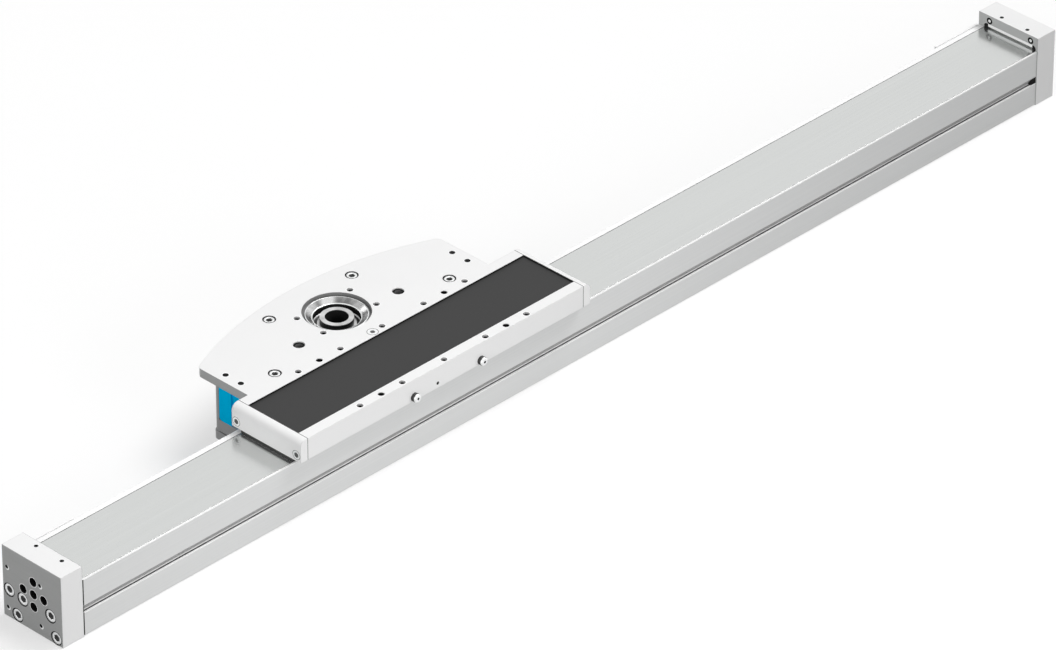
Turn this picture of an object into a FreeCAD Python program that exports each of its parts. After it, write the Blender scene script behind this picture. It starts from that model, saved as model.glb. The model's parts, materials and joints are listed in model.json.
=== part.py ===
"""Belt driven linear axis: a moving slide with its drive unit on a fixed profile.

All lengths are in millimetres.  The origin is the centre of the flat underside
between the two end caps.  +X runs along the profile towards the far end cap,
+Z is up, and the drive unit hangs over the +Y side.  The belt lies in a recess
in the back of the profile, is clamped at both ends, and makes a loop round a
toothed pulley inside the drive unit, so the unit pulls itself along the belt.
"""
import FreeCAD, Part
import math
import os

V = FreeCAD.Vector

# Travel and overall sizes
stroke = 700.0
stop_gap = 0.65              # left between slide and end cap at each end of travel
end_cap_thickness = 20.2
end_cap_width = 60.0
end_cap_rise = 11.7          # end caps above the top of the profile
slide_rest_offset = -146.9   # where the slide stands, from mid travel

# Profile section
profile_width = 60.0
profile_height = 47.0
profile_shift = 0.5          # the back of the profile stands proud of the end caps
centre_y = -1.7              # centre line of rail, strip and slide
channel_width = 47.4
channel_depth = 19.0
back_edge_radius = 1.6
clamp_groove_lip = 19.4      # height of the lip that the profile clamps hook behind
clamp_groove_mouth = 6.0
clamp_groove_depth = 3.2
clamp_lip_width = 1.5
clamp_undercut = 2.0
slot_mouth = 5.2             # T-slots for sliding nuts
slot_lip = 1.9
slot_chamber_width = 8.6
slot_chamber_depth = 3.5
slot_spacing = 18.0
back_slot_height = 6.5
chamber_bottom = 12.0
chamber_top = 21.0
profile_edge = 0.6

# Steel cover strip
strip_width = 52.4
strip_thickness = 0.3
strip_gap = 0.15
strip_lift = 13.3            # how far the strip rises over the neck of the slide
strip_ramp_angle = 15.0
strip_bend_radius = 40.0
strip_clearance = 0.6
wiper_inset = 0.5
wiper_thickness = 2.5
guide_length = 27.0

# Guide
rail_width = 24.0
rail_height = 8.5
rail_groove_radius = 1.5
rail_seat_depth = 1.0
carriage_width = 40.0
carriage_length = 46.0
carriage_cap_length = 6.0
carriage_gap = 3.0           # carriage to channel floor
carriage_height = 11.0
carriage_offset = 62.0
running_gap = 0.3

# Slide
slide_length = 278.5
slide_width = 69.9
slide_lift = 3.0             # slide above the top of the profile
slide_height = 18.0
slide_cap_thickness = 7.0
slide_cap_round = 5.5
neck_width = 42.0
neck_half_length = 93.5
panel_width = 50.9
panel_recess = 1.0
panel_thickness = 3.0
panel_flange = 1.8
panel_flange_thickness = 1.6
panel_gap = 0.1
wing_thickness = 7.0
wing_half_length = 121.4
wing_radius = 290.0
wing_apex = 111.2
wing_corner_radius = 6.0

# Hole patterns
hole_pitch = 21.0
payload_row = 31.35
payload_depth = 12.0
payload_core_radius = 2.1
dowel_radius = 2.5
dowel_depth = 8.0
flange_dx = 26.75
flange_dy = 13.6
top_screw_dx = 41.65
side_screw_dx = 88.0
plate_screw_dy = 26.85

# Socket head screws: head radius and head height
m5_head = (4.25, 5.0)
m6_head = (5.0, 6.0)
head_clearance = 0.5
head_sink = 0.3

# End cap interfaces, as offsets from the middle of the cap and its underside
cap_screws = ((23.5, 23.5), (9.7, 22.0), (15.6, 6.0), (-18.5, 21.6), (-23.8, 5.5))
cross_centre = (-1.5, 31.4)
cross_pitch = 10.4
cross_core_radius = 3.4
cap_thread_depth = 12.0
cap_chamfer = 0.5
cutter_reach = 1.0           # how far a cutter starts outside the face it goes into
strip_pocket_width = 52.8
strip_pocket_depth = 12.0
strip_pocket_height = 4.2
strip_pocket_round = 3.0
strip_bar_width = 45.4
strip_bar_height = 2.8
strip_bar_lip = 4.0
strip_bar_inset = 0.6
strip_end_gap = 1.0

# Lubrication nipples
nipple_dx = 33.65
nipple_rise = 3.5
nipple_radius = 3.4
nipple_length = 4.3

# Belt drive
belt_pitch = 5.0
belt_width = 16.0
belt_centre_drop = 10.5      # belt's middle below the top of the profile
belt_land = 1.5
belt_tooth_height = 1.2
belt_back_to_pitch = 0.9
belt_tooth_root = 2.65
belt_tooth_tip = 1.78
belt_recess_gap = 0.6
pulley_teeth = 24
hub_dx = -9.1                # drive shaft from the middle of the slide
hub_y = 66.85
idler_dx = 50.0
idler_dy = -12.45
clamp_length = 48.0
clamp_proud = 1.8
clamp_rise = 21.9
tooth_gap = 0.3
pulley_overhang = 0.4        # toothed rim beyond the belt's edges

# Drive housing
housing_inset = 10.3         # housing wall behind the edge of the wing
housing_drop = 33.6          # underside of the housing below the top of the profile
housing_floor = 10.0
housing_wall = 3.6
housing_corner_radius = 3.0
base_thickness = 8.0
base_overhang = 0.8
base_chamfer = 1.2
boss_half = 5.5
side_cover_thickness = 5.0
side_cover_step = 1.5
side_cover_split = 61.5
side_cover_corner = 3.0

# Bearings and shaft
pilot_radius = 25.5
pilot_depth = 3.3
ring_radius = 23.5
ring_depth = 6.7
ring_bore_radius = 17.6
bearing_bore_radius = 12.5
bearing_radius = 21.0
bearing_width = 9.0
bearing_ring_width = 2.0
boss_wall = 4.5
hub_bore_radius = 8.75
hub_recess = 4.4             # hub face below the top of the wing
hub_bore_depth = 32.0
journal_radius = 7.5
journal_gap = 0.05
pin_radius = 6.0
pin_bite = 8.0               # how deep the idler pins stand in the housing floor
pin_access_radius = 4.5      # hole in the wing over each idler

# Derived places
slide_total = slide_length + 2 * slide_cap_thickness
profile_length = stroke + slide_total + 2 * stop_gap
half_profile = profile_length / 2
half_length = half_profile + end_cap_thickness
slide_x = slide_rest_offset
slide_end = slide_length / 2
hub_x = slide_x + hub_dx
profile_front = profile_shift - profile_width / 2
profile_back = profile_shift + profile_width / 2
channel_front = centre_y - channel_width / 2
channel_back = centre_y + channel_width / 2
channel_floor = profile_height - channel_depth
strip_bottom = profile_height - strip_thickness
end_cap_height = profile_height + end_cap_rise
strip_pocket_top = profile_height + strip_pocket_height
slide_bottom = profile_height + slide_lift
slide_top = slide_bottom + slide_height
slide_front = centre_y - slide_width / 2
slide_back = centre_y + slide_width / 2
wing_bottom = slide_top - wing_thickness
wing_centre_y = wing_apex - wing_radius
belt_total = belt_land + belt_tooth_height
belt_pitch_y = profile_back - belt_back_to_pitch
belt_tip_y = profile_back - belt_total
belt_centre_height = profile_height - belt_centre_drop
belt_low = belt_centre_height - belt_width / 2
belt_high = belt_centre_height + belt_width / 2
recess_floor_y = belt_tip_y - running_gap
recess_low = belt_low - belt_recess_gap
recess_high = belt_high + belt_recess_gap
pitch_radius = pulley_teeth * belt_pitch / (2 * math.pi)
idler_y = hub_y + idler_dy
idler_pitch_radius = idler_y - belt_pitch_y
roller_radius = idler_y - profile_back - running_gap
housing_half = wing_half_length - housing_inset
housing_radius = wing_radius - housing_inset
housing_front = slide_back
housing_bottom = profile_height - housing_drop
base_bottom = housing_bottom - base_thickness
floor_top = housing_bottom + housing_floor
rail_top = channel_floor + rail_height
carriage_bottom = channel_floor + carriage_gap
carriage_top = carriage_bottom + carriage_height
bend_reach = strip_bend_radius * math.tan(math.radians(strip_ramp_angle) / 2)
strip_foot = slide_total / 2 - bend_reach
strip_crest = strip_foot - strip_lift / math.tan(math.radians(strip_ramp_angle))
neck_top = strip_bottom + strip_lift - strip_clearance
hub_top = slide_top - hub_recess
bearing_top = slide_top - ring_depth - pilot_depth
bearing_seat = bearing_top - bearing_width
turning_ring_radius = bearing_bore_radius + bearing_ring_width
pulley_low = belt_low - pulley_overhang
pulley_high = belt_high + pulley_overhang


def box(x0, x1, y0, y1, z0, z1):
    return Part.makeBox(x1 - x0, y1 - y0, z1 - z0, V(x0, y0, z0))


def rod(axis, start, length, radius):
    return Part.makeCylinder(radius, length, V(*start), axis)


def upright(x, y, z0, z1, radius):
    """A round bar or hole along Z."""
    return rod(V(0, 0, 1), (x, y, z0), z1 - z0, radius)


def washer(x, y, z0, z1, inner, outer):
    return upright(x, y, z0, z1, outer).cut(upright(x, y, z0, z1, inner))


def outline(points):
    """A face from points; a pair of points in brackets is an arc's middle and end."""
    edges = []
    here = V(*points[0])
    for step in points[1:] + [points[0]]:
        if isinstance(step[0], tuple):
            middle, end = V(*step[0]), V(*step[1])
            edges.append(Part.Arc(here, middle, end).toShape())
        else:
            end = V(*step)
            edges.append(Part.LineSegment(here, end).toShape())
        here = end
    return Part.Face(Part.Wire(edges))


def placed(section, put):
    """The section's points in space; put takes the two numbers of a point."""
    points = []
    for step in section:
        if isinstance(step[0], tuple):
            points.append((put(*step[0]), put(*step[1])))
        else:
            points.append(put(*step))
    return points


def extrude_x(section, x0, x1):
    """A section of (y, z) points drawn out along X."""
    return outline(placed(section, lambda y, z: (x0, y, z))).extrude(V(x1 - x0, 0, 0))


def extrude_y(section, y0, y1):
    """A section of (x, z) points drawn out along Y."""
    return outline(placed(section, lambda x, z: (x, y0, z))).extrude(V(0, y1 - y0, 0))


def extrude_z(section, z0, z1):
    """A section of (x, y) points drawn out along Z."""
    return outline(placed(section, lambda x, y: (x, y, z0))).extrude(V(0, 0, z1 - z0))


def mirrored(shape, x):
    """The shape's twin on the other side of the plane at x."""
    return shape.mirror(V(x, 0, 0), V(1, 0, 0))


def head_pocket(size, face, direction):
    """The round pocket for a screw's head; face is its mouth, direction the way it goes in."""
    head, height = size
    return rod(V(*direction), face, height + head_sink, head + head_clearance)


def save(name, shape):
    """One STEP file for each node; several loose solids go in as a group."""
    if isinstance(shape, (list, tuple)):
        shape = Part.makeCompound(list(shape))
    shape.exportStep("parts/" + name + ".step")


def profile_section():
    """The outside of the extrusion with its side groove, open channel and belt recess."""
    lip = clamp_groove_lip
    inner = profile_front + clamp_groove_depth
    rim = strip_width / 2 + strip_gap
    radius = back_edge_radius
    bend = radius * (1 - math.sqrt(0.5))
    top = profile_height
    return [
        (profile_front + profile_edge, 0.0),
        (profile_front, profile_edge),
        (profile_front, lip),
        (profile_front + clamp_lip_width, lip),
        (profile_front + clamp_lip_width, lip - clamp_undercut),
        (inner, lip - clamp_undercut),
        (inner, lip + clamp_undercut / 2),
        (profile_front, lip + clamp_groove_mouth),
        (profile_front, top),
        (centre_y - rim, top),
        (centre_y - rim, strip_bottom),
        (channel_front, strip_bottom),
        (channel_front, channel_floor),
        (channel_back, channel_floor),
        (channel_back, strip_bottom),
        (centre_y + rim, strip_bottom),
        (centre_y + rim, top),
        (profile_back - radius, top),
        ((profile_back - bend, top - bend), (profile_back, top - radius)),
        (profile_back, recess_high),
        (recess_floor_y, recess_high),
        (recess_floor_y, recess_low),
        (profile_back, recess_low),
        (profile_back, profile_edge),
        (profile_back - profile_edge, 0.0),
    ]


def slot_cutter(y, z, x0, x1, way):
    """A T-slot from the mouth at (y, z); way is the direction into the metal."""
    across = (way[1], way[0])

    def corner(depth, side):
        return (y + way[0] * depth + across[0] * side, z + way[1] * depth + across[1] * side)

    mouth = slot_mouth / 2
    chamber = slot_chamber_width / 2
    bottom = slot_lip + slot_chamber_depth
    section = [
        corner(0, -mouth), corner(slot_lip, -mouth), corner(slot_lip, -chamber),
        corner(bottom, -chamber), corner(bottom, chamber), corner(slot_lip, chamber),
        corner(slot_lip, mouth), corner(0, mouth),
    ]
    return extrude_x(section, x0, x1)


def profile():
    x0, x1 = -half_profile, half_profile
    body = extrude_x(profile_section(), x0, x1)
    cutters = [
        slot_cutter(centre_y - slot_spacing / 2, 0, x0, x1, (0, 1)),
        slot_cutter(centre_y + slot_spacing / 2, 0, x0, x1, (0, 1)),
        slot_cutter(profile_back, back_slot_height, x0, x1, (-1, 0)),
    ]
    left = cap_screws[3][0] + m6_head[0]
    middle = cap_screws[1][0] - m6_head[0]
    cutters.append(box(x0, x1, left, middle, chamber_bottom, chamber_top))
    seat = rail_width / 2
    cutters.append(box(x0, x1, centre_y - seat, centre_y + seat, channel_floor - rail_seat_depth,
                       channel_floor))
    return body.cut(cutters)


def guide_rail():
    """The rail, pressed into its seat, with one ball groove in each side."""
    half = rail_width / 2
    groove = channel_floor + 0.6 * rail_height
    radius = rail_groove_radius
    section = [
        (centre_y - half, channel_floor - rail_seat_depth),
        (centre_y - half, groove - radius),
        ((centre_y - half + radius, groove), (centre_y - half, groove + radius)),
        (centre_y - half, rail_top),
        (centre_y + half, rail_top),
        (centre_y + half, groove + radius),
        ((centre_y + half - radius, groove), (centre_y + half, groove - radius)),
        (centre_y + half, channel_floor - rail_seat_depth),
    ]
    return extrude_x(section, -half_profile, half_profile)


def carriage_piece(x0, x1, inset):
    """A saddle over the rail; inset draws the end seals in from the steel block."""
    half = carriage_width / 2 - inset
    bore = rail_width / 2 + running_gap
    section = [
        (centre_y - half, carriage_bottom + inset),
        (centre_y - half, carriage_top - inset),
        (centre_y + half, carriage_top - inset),
        (centre_y + half, carriage_bottom + inset),
        (centre_y + bore, carriage_bottom + inset),
        (centre_y + bore, rail_top + running_gap),
        (centre_y - bore, rail_top + running_gap),
        (centre_y - bore, carriage_bottom + inset),
    ]
    return extrude_x(section, x0, x1)


def guide_carriage(side):
    middle = slide_x + side * carriage_offset
    return carriage_piece(middle - carriage_length / 2, middle + carriage_length / 2, 0)


def carriage_seals():
    seals = []
    for side in (-1, 1):
        for end in (-1, 1):
            face = slide_x + side * carriage_offset + end * carriage_length / 2
            tip = face + end * carriage_cap_length
            seals.append(carriage_piece(min(face, tip), max(face, tip), running_gap))
    return seals


def end_cap(near):
    """An end cap in the near place; the outer face of the near one has screw pockets and threads."""
    x0, x1 = -half_length, -half_profile
    half = end_cap_width / 2
    body = box(x0, x1, -half, half, 0, end_cap_height)
    body = body.makeChamfer(cap_chamfer, [e for e in body.Edges if e.Vertexes[0].X == e.Vertexes[-1].X == x0])
    pocket_half = strip_pocket_width / 2
    corner = strip_pocket_round
    bend = corner * (1 - math.sqrt(0.5))
    top = strip_pocket_top
    pocket = [
        (centre_y - pocket_half, strip_bottom),
        (centre_y - pocket_half, top - corner),
        ((centre_y - pocket_half + bend, top - bend), (centre_y - pocket_half + corner, top)),
        (centre_y + pocket_half - corner, top),
        ((centre_y + pocket_half - bend, top - bend), (centre_y + pocket_half, top - corner)),
        (centre_y + pocket_half, strip_bottom),
    ]
    cutters = [extrude_x(pocket, x1 - strip_pocket_depth, x1)]
    if near:
        cutters += [head_pocket(m6_head, (x0, y, z), (1, 0, 0)) for y, z in cap_screws]
        cutters += cap_threads(x0)
    return body.cut(cutters)


def cap_threads(x0):
    """A cross of five threads in the outer face."""
    holes = []
    for dy, dz in ((0, 0), (1, 0), (-1, 0), (0, 1), (0, -1)):
        place = (x0, cross_centre[0] + dy * cross_pitch, cross_centre[1] + dz * cross_pitch)
        holes.append(rod(V(1, 0, 0), place, cap_thread_depth, cross_core_radius))
    return holes


def strip_clamp_bar():
    """The bar in the end cap that presses the strip onto the top of the profile."""
    face = -half_profile - strip_bar_inset
    back = -half_profile - strip_pocket_depth
    low = strip_pocket_top - strip_bar_height
    half = strip_bar_width / 2
    section = [
        (back, profile_height), (back, strip_pocket_top), (face, strip_pocket_top),
        (face, low), (face - strip_bar_lip, low), (face - strip_bar_lip, profile_height),
    ]
    return extrude_y(section, centre_y - half, centre_y + half)


def cover_strip(x0, x1):
    half = strip_width / 2
    return box(x0, x1, centre_y - half, centre_y + half, strip_bottom, profile_height)


def cover_strip_bow():
    """The part of the strip inside the slide, which climbs over the neck and comes down again."""
    angle = math.radians(strip_ramp_angle)
    reach = bend_reach
    drop = strip_bend_radius * (1 - math.cos(angle / 2))
    swing = strip_bend_radius * math.sin(angle / 2)
    foot, crest = strip_foot, strip_crest
    side = reach * math.cos(angle)
    rise = reach * math.sin(angle)

    def bend_up(way, z):
        """The three points of a bend at the foot of a ramp, from outside in."""
        outer = (slide_x + way * (foot + reach), z)
        middle = (slide_x + way * (foot + reach - swing), z + drop)
        return outer, middle, (slide_x + way * (foot - side), z + rise)

    def bend_over(way, z):
        """The three points of a bend at the crest of a ramp, from outside in."""
        outer = (slide_x + way * (crest + side), z + strip_lift - rise)
        middle = (slide_x + way * (crest - reach + swing), z + strip_lift - drop)
        return outer, middle, (slide_x + way * (crest - reach), z + strip_lift)

    def across(z, way):
        """The whole path at height z, starting from the end on the side given by way."""
        a, b, c = bend_up(way, z)
        d, e, f = bend_over(way, z)
        g, h, i = bend_over(-way, z)
        j, k, m = bend_up(-way, z)
        return [a, (b, c), d, (e, f), i, (h, g), m, (k, j)]

    half = strip_width / 2
    section = across(strip_bottom, -1) + across(profile_height, 1)
    return extrude_y(section, centre_y - half, centre_y + half)


def wing_block(half, radius, front, corner, z0, z1):
    """The D shape over the drive: straight at the slide, one large arc behind, round corners."""
    corner_y = wing_centre_y + math.sqrt(radius ** 2 - half ** 2)
    section = [
        (hub_x - half, front), (hub_x + half, front), (hub_x + half, corner_y),
        ((hub_x, wing_centre_y + radius), (hub_x - half, corner_y)),
    ]
    block = extrude_z(section, z0, z1)
    edges = [e for e in block.Edges if e.BoundBox.XLength < 0.01 and e.BoundBox.YMin > corner_y - 0.01
             and e.BoundBox.YLength < 0.01]
    return block.makeFillet(corner, edges)


def plate_screw_places():
    """Screws from the wing down into the housing walls, as (x, y)."""
    return [
        (hub_x - top_screw_dx, hub_y + plate_screw_dy),
        (hub_x + top_screw_dx, hub_y + plate_screw_dy),
        (hub_x - side_screw_dx, hub_y - plate_screw_dy),
        (hub_x + side_screw_dx, hub_y - plate_screw_dy),
    ]


def slide_holes():
    """Threads and dowel holes in the two payload rows."""
    holes = []
    for row in (-payload_row, payload_row):
        for step in (-4, -2, 0, 2, 4):
            holes.append(upright(slide_x + step * hole_pitch, centre_y + row,
                                 slide_top - payload_depth, slide_top, payload_core_radius))
        for step in (-3, 3):
            holes.append(upright(slide_x + step * hole_pitch, centre_y + row,
                                 slide_top - dowel_depth, slide_top, dowel_radius))
    return holes


def wing_holes():
    """Threads for the motor flange, access to the idlers and pockets for the housing screws."""
    holes = []
    for dx in (-flange_dx, flange_dx):
        for dy in (-flange_dy, flange_dy):
            holes.append(upright(hub_x + dx, hub_y + dy, wing_bottom, slide_top, payload_core_radius))
    for dx in (-idler_dx, idler_dx):
        holes.append(upright(hub_x + dx, idler_y, wing_bottom, slide_top, pin_access_radius))
    for x, y in plate_screw_places():
        holes.append(head_pocket(m5_head, (x, y, slide_top), (0, 0, -1)))
    return holes


def slide_channel():
    """The way through the slide for the strip, open below at both ends."""
    half = slide_end
    slope = math.tan(math.radians(strip_ramp_angle))
    level = strip_crest - 2 * strip_clearance
    toe = level + (neck_top - slide_bottom) / slope
    top = slide_top - panel_recess - panel_thickness
    width = strip_width + 2 * strip_gap + 2 * running_gap
    section = [
        (slide_x - half, slide_bottom), (slide_x - toe, slide_bottom),
        (slide_x - level, neck_top), (slide_x + level, neck_top),
        (slide_x + toe, slide_bottom), (slide_x + half, slide_bottom),
        (slide_x + half, top), (slide_x - half, top),
    ]
    return extrude_y(section, centre_y - width / 2, centre_y + width / 2)


def panel_section(gap):
    """The cover panel slides into grooves under the edges of its opening."""
    half = panel_width / 2 + gap
    flange = half + panel_flange
    top = slide_top - panel_recess
    flange_top = top - panel_thickness + panel_flange_thickness + gap
    low = top - panel_thickness
    return [
        (centre_y - flange, low), (centre_y - flange, flange_top),
        (centre_y - half, flange_top), (centre_y - half, top),
        (centre_y + half, top), (centre_y + half, flange_top),
        (centre_y + flange, flange_top), (centre_y + flange, low),
    ]


def bearing_bore():
    """Steps of the bore from the motor side down: pilot, cover ring, bearing."""
    return [
        upright(hub_x, hub_y, slide_top - pilot_depth, slide_top, pilot_radius),
        upright(hub_x, hub_y, bearing_top, slide_top, ring_radius),
        upright(hub_x, hub_y, bearing_seat, slide_top, bearing_radius),
    ]


def slide_plate():
    """The machined slide in one piece with the wing that carries the drive."""
    x0, x1 = slide_x - slide_end, slide_x + slide_end
    body = box(x0, x1, slide_front, slide_back, slide_bottom, slide_top)
    wing = wing_block(wing_half_length, wing_radius, slide_back - cutter_reach, wing_corner_radius,
                      wing_bottom, slide_top)
    neck = box(slide_x - neck_half_length, slide_x + neck_half_length,
               centre_y - neck_width / 2, centre_y + neck_width / 2, carriage_top, slide_bottom)
    boss = upright(hub_x, hub_y, bearing_seat, wing_bottom, bearing_radius + boss_wall)
    body = body.fuse([wing, neck, boss]).removeSplitter()
    opening = extrude_x(panel_section(panel_gap), x0, x1)
    recess = box(x0, x1, centre_y - panel_width / 2 - panel_gap, centre_y + panel_width / 2 + panel_gap,
                 slide_top - panel_recess - panel_gap, slide_top)
    cutters = [slide_channel(), opening, recess]
    cutters += slide_holes() + wing_holes() + bearing_bore()
    return body.cut(cutters)


def cover_panel():
    return extrude_x(panel_section(0.0), slide_x - slide_end, slide_x + slide_end)


def slide_end_cap():
    """The near end cap of the slide, rounded along its upper outer edge."""
    inner = slide_x - slide_end
    outer = inner - slide_cap_thickness
    radius = slide_cap_round
    bend = radius * (1 - math.sqrt(0.5))
    section = [
        (inner, slide_bottom), (inner, slide_top), (outer + radius, slide_top),
        ((outer + bend, slide_top - bend), (outer, slide_top - radius)),
        (outer, slide_bottom),
    ]
    return extrude_y(section, slide_front, slide_back)


def strip_wiper():
    """The wiper under the near end cap of the slide, which sweeps the strip."""
    outer = slide_x - slide_end - slide_cap_thickness
    half = strip_width / 2
    return box(outer + wiper_inset, outer + wiper_inset + wiper_thickness, centre_y - half, centre_y + half,
               profile_height + running_gap, slide_bottom)


def strip_guide():
    """The wedge in the near mouth of the slide that holds the strip down on its ramp."""
    slope = math.tan(math.radians(strip_ramp_angle))
    outer = slide_end
    inner = outer - guide_length
    ceiling = slide_top - panel_recess - panel_thickness
    half = strip_width / 2

    def floor(x):
        return profile_height + max(0.0, strip_foot - x) * slope + 2 * running_gap

    section = [
        (slide_x - outer, floor(outer)), (slide_x - outer, ceiling),
        (slide_x - inner, ceiling), (slide_x - inner, floor(inner)),
    ]
    return extrude_y(section, centre_y - half, centre_y + half)


def lube_nipples():
    """Two grease nipples with a flat head in the front of the slide."""
    height = slide_bottom + nipple_rise
    return [rod(V(0, -1, 0), (slide_x + dx, slide_front, height), nipple_length, nipple_radius)
            for dx in (-nipple_dx, nipple_dx)]


def drive_housing():
    """An open D shaped tub under the wing: floor, curved back wall and screw columns."""
    outside = wing_block(housing_half, housing_radius, housing_front, housing_corner_radius,
                         housing_bottom, wing_bottom)
    room = wing_block(housing_half - housing_wall, housing_radius - housing_wall,
                      housing_front - cutter_reach, housing_corner_radius - housing_wall / 2,
                      floor_top, wing_bottom)
    corner_y = wing_centre_y + math.sqrt(housing_radius ** 2 - housing_half ** 2)
    windows = box(hub_x - housing_half - cutter_reach, hub_x + housing_half + cutter_reach,
                  housing_front - cutter_reach,
                  corner_y - housing_wall, floor_top, wing_bottom)
    bosses = [box(x - boss_half, x + boss_half, y - boss_half, y + boss_half if y < hub_y else wing_apex,
                  floor_top, wing_bottom).common(outside) for x, y in plate_screw_places()]
    shape = outside.cut([room, windows]).fuse(bosses).removeSplitter()
    cutters = [upright(hub_x, hub_y, housing_bottom, floor_top, journal_radius + journal_gap)]
    for dx in (-idler_dx, idler_dx):
        cutters.append(upright(hub_x + dx, idler_y, floor_top - pin_bite, floor_top,
                               pin_radius + journal_gap))
    return shape.cut(cutters)


def drive_base_plate():
    """The plate that closes the housing from below, a little larger all round."""
    plate = wing_block(housing_half + base_overhang, housing_radius + base_overhang, housing_front,
                       housing_corner_radius + base_overhang, base_bottom, housing_bottom)
    rim = [e for e in plate.Edges if abs(e.BoundBox.ZMax - base_bottom) < 0.01]
    return plate.makeChamfer(base_chamfer, rim)


def belt_side_cover():
    """The plastic cover in the near end of the housing, with a step in its face."""
    outer = hub_x - housing_half
    corner_y = wing_centre_y + math.sqrt(housing_radius ** 2 - housing_half ** 2)
    left = corner_y - housing_wall - running_gap
    low = floor_top
    corner = side_cover_corner
    bend = corner * (1 - math.sqrt(0.5))
    section = [
        (housing_front, low), (left - corner, low),
        ((left - bend, low + bend), (left, low + corner)),
        (left, wing_bottom), (housing_front, wing_bottom),
    ]
    cover = extrude_x(section, outer, outer + side_cover_thickness)
    step = box(outer, outer + side_cover_step, housing_front, side_cover_split, low, wing_bottom)
    return cover.cut(step)


def bearing_cover_ring():
    """The turned ring that holds the upper bearing."""
    return washer(hub_x, hub_y, bearing_top, slide_top - pilot_depth, ring_bore_radius, ring_radius)


def upper_bearing_outer_ring():
    """The fixed part of the sealed bearing, with the seal reaching in to the turning ring."""
    inner = turning_ring_radius + running_gap
    return washer(hub_x, hub_y, bearing_seat, bearing_top, inner, bearing_radius)


def pulley_teeth_outline():
    """Points of the toothed rim; a groove faces the back of the loop at rest."""
    tip = pitch_radius - (belt_land - belt_back_to_pitch) - tooth_gap
    root = tip - belt_tooth_height
    step = 2 * math.pi / pulley_teeth
    wide = (belt_tooth_root / 2 + tooth_gap) / tip
    narrow = (belt_tooth_tip / 2 + tooth_gap) / root
    points = []
    for tooth in range(pulley_teeth):
        centre = math.pi / 2 + tooth * step
        for radius, angle in ((tip, -wide), (root, -narrow), (root, narrow), (tip, wide)):
            turn = centre + angle
            points.append((hub_x + radius * math.cos(turn), hub_y + radius * math.sin(turn)))
    return points


def drive_pulley():
    """Toothed pulley in one piece with its lower journal, hollow hub and the bearing's turning ring."""
    body = extrude_z(pulley_teeth_outline(), pulley_low, pulley_high)
    body = body.fuse([
        upright(hub_x, hub_y, housing_bottom + running_gap, pulley_low, journal_radius),
        upright(hub_x, hub_y, pulley_high, bearing_top, turning_ring_radius),
        upright(hub_x, hub_y, bearing_top, hub_top, bearing_bore_radius),
    ]).removeSplitter()
    return body.cut(upright(hub_x, hub_y, hub_top - hub_bore_depth, hub_top, hub_bore_radius))


def idler_roller(side):
    """A smooth roller that runs on the back of the belt."""
    return washer(hub_x + side * idler_dx, idler_y, belt_low, belt_high, pin_radius + journal_gap,
                  roller_radius)


def idler_axles():
    """Pins from the housing floor up to the wing, under its two access holes."""
    return [upright(hub_x + side * idler_dx, idler_y, floor_top - pin_bite, wing_bottom, pin_radius)
            for side in (-1, 1)]


def belt_path(s):
    """Point and heading on the pitch line of the loop, s along it from the back of the pulley.

    The line runs round the pulley, crosses to an idler, wraps it and leaves along the profile.
    """
    turn, cross = belt_wrap()
    distance = abs(s)
    side = 1 if s >= 0 else -1
    arc_end = pitch_radius * turn
    if distance <= arc_end:
        angle = distance / pitch_radius
        x, y = pitch_radius * math.sin(angle), pitch_radius * math.cos(angle)
        heading = -angle
    elif distance <= arc_end + cross:
        along = distance - arc_end
        x = pitch_radius * math.sin(turn) + along * math.cos(turn)
        y = pitch_radius * math.cos(turn) - along * math.sin(turn)
        heading = -turn
    else:
        heading = (distance - arc_end - cross) / idler_pitch_radius - turn
        x = idler_dx + idler_pitch_radius * math.sin(heading)
        y = idler_dy - idler_pitch_radius * math.cos(heading)
    return hub_x + side * x, hub_y + y, side * heading


def belt_wrap():
    """Angle of wrap on half the pulley, and the free length between pulley and idler."""
    distance = math.hypot(idler_dx, idler_dy)
    reach = pitch_radius + idler_pitch_radius
    lean = math.atan2(-idler_dy, idler_dx)
    turn = math.asin(reach / distance) + lean
    return turn, math.sqrt(distance ** 2 - reach ** 2)


def belt_loop():
    """The toothed stretch from one idler round the pulley to the other."""
    turn, cross = belt_wrap()
    half = pitch_radius * turn + cross + idler_pitch_radius * turn
    land = belt_land - belt_back_to_pitch
    teeth = int(half / belt_pitch - 0.5)

    def offset(s, out):
        """A point beside the pitch line; out is positive away from the pulley."""
        x, y, heading = belt_path(s)
        return (x - out * math.sin(heading), y + out * math.cos(heading))

    points = [offset(-half, -land)]
    for tooth in range(-teeth, teeth + 1):
        s = tooth * belt_pitch
        for along, depth in ((-belt_tooth_root, 0.0), (-belt_tooth_tip, belt_tooth_height),
                             (belt_tooth_tip, belt_tooth_height), (belt_tooth_root, 0.0)):
            points.append(offset(s + along / 2, -land - depth))
    points.append(offset(half, -land))
    steps = 2 * teeth + 2
    for step in range(steps + 1):
        points.append(offset(half - 2 * half * step / steps, belt_back_to_pitch))
    return extrude_z(points, belt_low, belt_high)


def belt_run(x0, x1):
    """A straight stretch of belt in its recess, between a clamp and an idler."""
    return box(x0, x1, profile_back - belt_land, profile_back, belt_low, belt_high)


def belt_clamp():
    """The near clamp: a plate across the recess that presses the belt onto its seat."""
    x0 = -half_profile
    return box(x0, x0 + clamp_length, profile_back, profile_back + clamp_proud,
               profile_height - clamp_rise, profile_height - running_gap)


def belt_clamp_seat():
    """The toothed foot of the near clamp, under the belt in the floor of the recess."""
    x0 = -half_profile
    return box(x0, x0 + clamp_length, recess_floor_y, profile_back - belt_land, recess_low + running_gap,
               recess_high - running_gap)


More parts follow.
